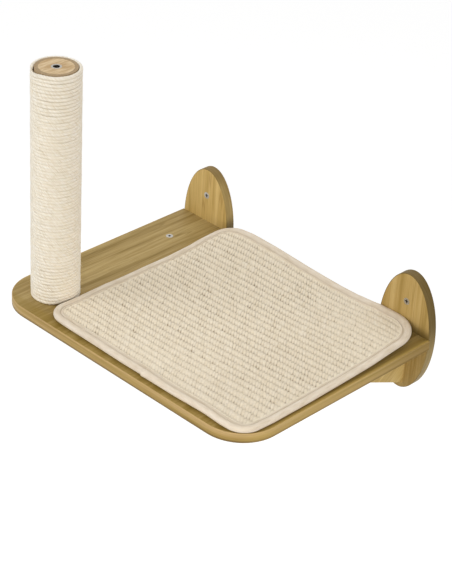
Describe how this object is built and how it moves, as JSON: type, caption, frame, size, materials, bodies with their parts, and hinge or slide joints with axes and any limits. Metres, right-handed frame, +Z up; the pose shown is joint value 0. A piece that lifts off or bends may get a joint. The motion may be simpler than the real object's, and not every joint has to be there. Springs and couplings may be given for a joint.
{
  "type": "cat climbing wall shelf",
  "caption": "Rounded wood-look wall shelf on oval wall plates with gussets, a sisal-roped scratching post at its left front corner and a removable woven mat.",
  "frame": {"origin": "midway between the two wall screws, on the wall's surface (the wall plates' back faces)", "axes": "+X to the right along the wall, +Y into the wall, +Z up"},
  "size_m": [0.4, 0.337, 0.365],
  "materials": {
    "laminate": "matt wood-grain laminate",
    "laminate_edge": "matt wood-grain edge strip",
    "plated_steel": "satin nickel plating",
    "plain_wood": "bare softwood",
    "paper_tube": "spiral-wound grey-brown paper",
    "sisal_rope": "natural twisted fibre",
    "sisal_weave": "coarse natural weave",
    "latex": "matt latex",
    "binding_tape": "woven cotton tape",
    "hook_and_loop": "brushed nylon"
  },
  "bodies": {
    "shelf": {"shelf_board": "laminate", "shelf_edge_band": "laminate_edge", "left_wall_plate": "laminate", "left_plate_edge_band": "laminate_edge", "left_gusset": "laminate", "right_wall_plate": "laminate", "right_plate_edge_band": "laminate_edge", "right_gusset": "laminate", "wall_screws": "plated_steel", "board_bolts": "plated_steel", "barrel_nuts": "plated_steel", "plate_screws": "plated_steel", "board_dowels": "plain_wood", "post_core_tube": "paper_tube", "post_bottom_plug": "plain_wood", "post_top_plug": "plain_wood", "post_inserts": "plated_steel", "post_bolt": "plated_steel", "post_bolt_washer": "plated_steel", "rope_lower": "sisal_rope", "rope_middle": "sisal_rope", "rope_upper": "sisal_rope", "rope_staples": "plated_steel", "hook_patches": "hook_and_loop"},
    "mat": {"mat_panel": "sisal_weave", "mat_backing": "latex", "mat_binding": "binding_tape", "loop_patches": "hook_and_loop"}
  },
  "joints": [
    {"name": "mat_lift", "type": "slide", "parent": "shelf", "child": "mat", "axis": [0, 0, 1], "range_m": [0, 0.12]}
  ]
}
